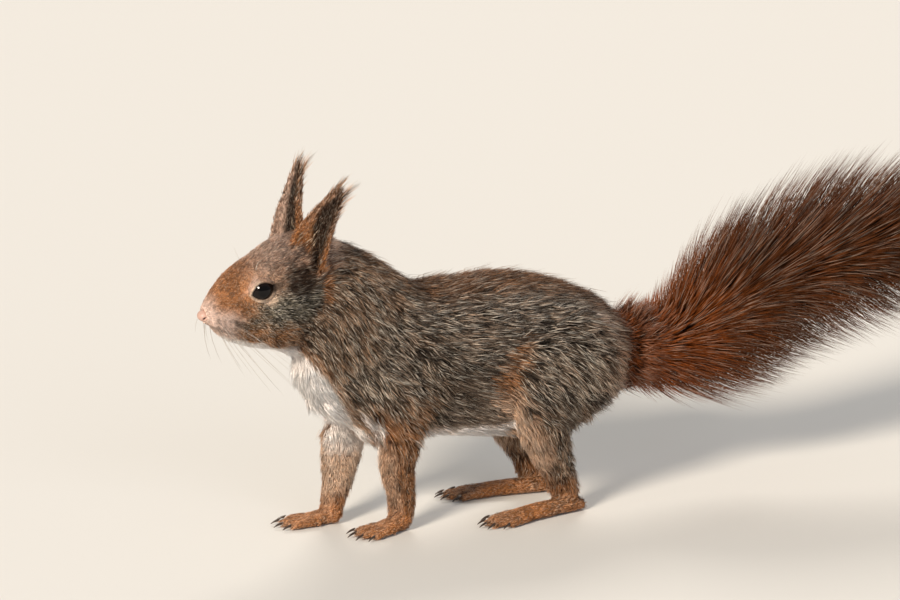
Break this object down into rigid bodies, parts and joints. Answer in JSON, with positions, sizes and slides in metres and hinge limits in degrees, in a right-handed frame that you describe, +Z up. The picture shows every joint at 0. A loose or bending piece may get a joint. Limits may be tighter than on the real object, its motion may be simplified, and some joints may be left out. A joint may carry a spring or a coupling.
{
  "type": "squirrel",
  "caption": "Life-size red squirrel standing on all fours, head up and bushy tail held out behind, a still display model.",
  "frame": {"origin": "centre of the bounding box in X and Y, on the level of the soles", "axes": "the squirrel faces -X with its tail towards +X, its left side is -Y, and +Z is up"},
  "size_m": [0.3786, 0.063, 0.1524],
  "materials": {
    "grey_brown_coat": "grey-brown ticked fur over flesh",
    "warm_coat": "red-brown fur over flesh",
    "rufous_coat": "short orange-brown fur over flesh",
    "tail_hair": "long loose chestnut hair round a thin tail",
    "nose_skin": "bare damp skin",
    "claw_horn": "dark polished horn",
    "eye": "wet glossy black"
  },
  "bodies": {
    "root": {"claw_fore_left_1": "claw_horn", "claw_fore_left_2": "claw_horn", "claw_fore_left_3": "claw_horn", "claw_fore_left_4": "claw_horn", "claw_fore_right_1": "claw_horn", "claw_fore_right_2": "claw_horn", "claw_fore_right_3": "claw_horn", "claw_fore_right_4": "claw_horn", "claw_hind_left_1": "claw_horn", "claw_hind_left_2": "claw_horn", "claw_hind_left_3": "claw_horn", "claw_hind_left_4": "claw_horn", "claw_hind_left_5": "claw_horn", "claw_hind_right_1": "claw_horn", "claw_hind_right_2": "claw_horn", "claw_hind_right_3": "claw_horn", "claw_hind_right_4": "claw_horn", "claw_hind_right_5": "claw_horn", "ear_left": "warm_coat", "ear_right": "warm_coat", "eye_left": "eye", "eye_right": "eye", "forefoot_left": "rufous_coat", "forefoot_right": "rufous_coat", "foreleg_forearm_left": "rufous_coat", "foreleg_forearm_right": "rufous_coat", "foreleg_upper_left": "grey_brown_coat", "foreleg_upper_right": "grey_brown_coat", "head": "warm_coat", "hindfoot_left": "rufous_coat", "hindfoot_right": "rufous_coat", "hindleg_shank_left": "grey_brown_coat", "hindleg_shank_right": "grey_brown_coat", "hindleg_thigh_left": "grey_brown_coat", "hindleg_thigh_right": "grey_brown_coat", "neck": "warm_coat", "nose": "nose_skin", "tail_1": "tail_hair", "tail_2": "tail_hair", "tail_3": "tail_hair", "tail_4": "tail_hair", "tail_5": "tail_hair", "tail_6": "tail_hair", "trunk": "grey_brown_coat"}
  },
  "joints": []
}
